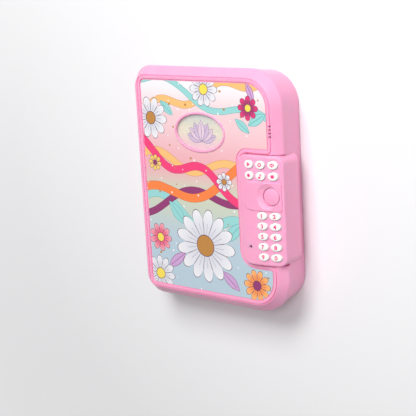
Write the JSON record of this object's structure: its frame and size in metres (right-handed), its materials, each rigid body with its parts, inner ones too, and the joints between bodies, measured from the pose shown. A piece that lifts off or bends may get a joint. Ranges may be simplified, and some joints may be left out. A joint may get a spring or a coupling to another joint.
{
  "type": "electronic diary",
  "caption": "Lockable diary case with a hinged printed lid, an oval window, a raised key block, an open button, and a notebook and marker kept inside.",
  "frame": {"origin": "on the flat back face, below the middle of the outline", "axes": "+X across the cover from the hinge to the key block, +Y up the page, +Z out of the cover"},
  "size_m": [0.1745, 0.219, 0.0457],
  "materials": {
    "case_pink": "satin moulded plastic, soft gloss",
    "inner_pink": "fine matte moulding",
    "button_pink": "satin moulded plastic",
    "key_white": "smooth white moulding with pink marks",
    "printed_panel": "printed film under a clear gloss",
    "clear_pane": "clear moulded pane",
    "notebook_board": "printed pastel board",
    "page_paper": "cut paper edges",
    "marker_violet": "smooth gloss",
    "steel": "bright plated",
    "latch_plastic": "plain moulding",
    "board_green": "solder mask",
    "chip_black": "moulded package",
    "mat_rubber": "silicone mat",
    "coil_copper": "enamelled winding",
    "capsule_metal": "dull plated steel",
    "cone_paper": "pressed paper",
    "cell_label": "plain sleeved can"
  },
  "bodies": {
    "base": {"base_shell": "case_pink", "keypad_housing": "case_pink", "tray": "inner_pink", "notebook_cover": "notebook_board", "notebook_pages": "page_paper", "marker_barrel": "marker_violet", "marker_cap": "marker_violet", "hinge_pins": "steel", "solenoid_frame": "steel", "latch_spring": "steel", "contact_plates": "steel", "contact_springs": "steel", "case_screws": "steel", "housing_screws": "steel", "board_screws": "steel", "circuit_board": "board_green", "control_chip": "chip_black", "key_mat": "mat_rubber", "solenoid_coil": "coil_copper", "microphone": "capsule_metal", "speaker_basket": "capsule_metal", "speaker_cone": "cone_paper", "batteries": "cell_label"},
    "lid": {"lid_frame": "case_pink", "cover_panel": "printed_panel", "window_bezel": "case_pink", "window_lens": "clear_pane", "strike_plate": "steel"},
    "battery_door": {"battery_door": "case_pink", "door_screw": "steel"},
    "latch_bolt": {"latch_bolt": "latch_plastic"},
    "open_button": {"open_button": "button_pink"},
    "key_play": {"key_play": "key_white"},
    "key_loop": {"key_loop": "key_white"},
    "key_voice": {"key_voice": "key_white"},
    "key_record": {"key_record": "key_white"},
    "key_music": {"key_music": "key_white"},
    "key_light": {"key_light": "key_white"},
    "key_1": {"key_1": "key_white"},
    "key_2": {"key_2": "key_white"},
    "key_3": {"key_3": "key_white"},
    "key_4": {"key_4": "key_white"},
    "key_5": {"key_5": "key_white"},
    "key_6": {"key_6": "key_white"},
    "key_7": {"key_7": "key_white"},
    "key_8": {"key_8": "key_white"},
    "key_9": {"key_9": "key_white"},
    "key_0": {"key_0": "key_white"}
  },
  "joints": [
    {"name": "lid_hinge", "type": "hinge", "parent": "base", "child": "lid", "pos_m": [-0.08425, 0, 0.0282], "axis": [0, -1, 0], "range_deg": [0, 140]},
    {"name": "latch_slide", "type": "slide", "parent": "base", "child": "latch_bolt", "axis": [-1, 0, 0], "range_m": [0, 0.004]},
    {"name": "battery_door_off", "type": "slide", "parent": "base", "child": "battery_door", "axis": [0, 0, -1], "range_m": [0, 0.015]},
    {"name": "open_button_press", "type": "slide", "parent": "base", "child": "open_button", "axis": [0, 0, -1], "range_m": [0, 0.0012], "stiffness_N_per_m": 500},
    {"name": "key_play_press", "type": "slide", "parent": "base", "child": "key_play", "axis": [0, 0, -1], "range_m": [0, 0.0012], "stiffness_N_per_m": 400},
    {"name": "key_loop_press", "type": "slide", "parent": "base", "child": "key_loop", "axis": [0, 0, -1], "range_m": [0, 0.0012], "stiffness_N_per_m": 400},
    {"name": "key_voice_press", "type": "slide", "parent": "base", "child": "key_voice", "axis": [0, 0, -1], "range_m": [0, 0.0012], "stiffness_N_per_m": 400},
    {"name": "key_record_press", "type": "slide", "parent": "base", "child": "key_record", "axis": [0, 0, -1], "range_m": [0, 0.0012], "stiffness_N_per_m": 400},
    {"name": "key_music_press", "type": "slide", "parent": "base", "child": "key_music", "axis": [0, 0, -1], "range_m": [0, 0.0012], "stiffness_N_per_m": 400},
    {"name": "key_light_press", "type": "slide", "parent": "base", "child": "key_light", "axis": [0, 0, -1], "range_m": [0, 0.0012], "stiffness_N_per_m": 400},
    {"name": "key_1_press", "type": "slide", "parent": "base", "child": "key_1", "axis": [0, 0, -1], "range_m": [0, 0.0012], "stiffness_N_per_m": 400},
    {"name": "key_2_press", "type": "slide", "parent": "base", "child": "key_2", "axis": [0, 0, -1], "range_m": [0, 0.0012], "stiffness_N_per_m": 400},
    {"name": "key_3_press", "type": "slide", "parent": "base", "child": "key_3", "axis": [0, 0, -1], "range_m": [0, 0.0012], "stiffness_N_per_m": 400},
    {"name": "key_4_press", "type": "slide", "parent": "base", "child": "key_4", "axis": [0, 0, -1], "range_m": [0, 0.0012], "stiffness_N_per_m": 400},
    {"name": "key_5_press", "type": "slide", "parent": "base", "child": "key_5", "axis": [0, 0, -1], "range_m": [0, 0.0012], "stiffness_N_per_m": 400},
    {"name": "key_6_press", "type": "slide", "parent": "base", "child": "key_6", "axis": [0, 0, -1], "range_m": [0, 0.0012], "stiffness_N_per_m": 400},
    {"name": "key_7_press", "type": "slide", "parent": "base", "child": "key_7", "axis": [0, 0, -1], "range_m": [0, 0.0012], "stiffness_N_per_m": 400},
    {"name": "key_8_press", "type": "slide", "parent": "base", "child": "key_8", "axis": [0, 0, -1], "range_m": [0, 0.0012], "stiffness_N_per_m": 400},
    {"name": "key_9_press", "type": "slide", "parent": "base", "child": "key_9", "axis": [0, 0, -1], "range_m": [0, 0.0012], "stiffness_N_per_m": 400},
    {"name": "key_0_press", "type": "slide", "parent": "base", "child": "key_0", "axis": [0, 0, -1], "range_m": [0, 0.0012], "stiffness_N_per_m": 400}
  ]
}
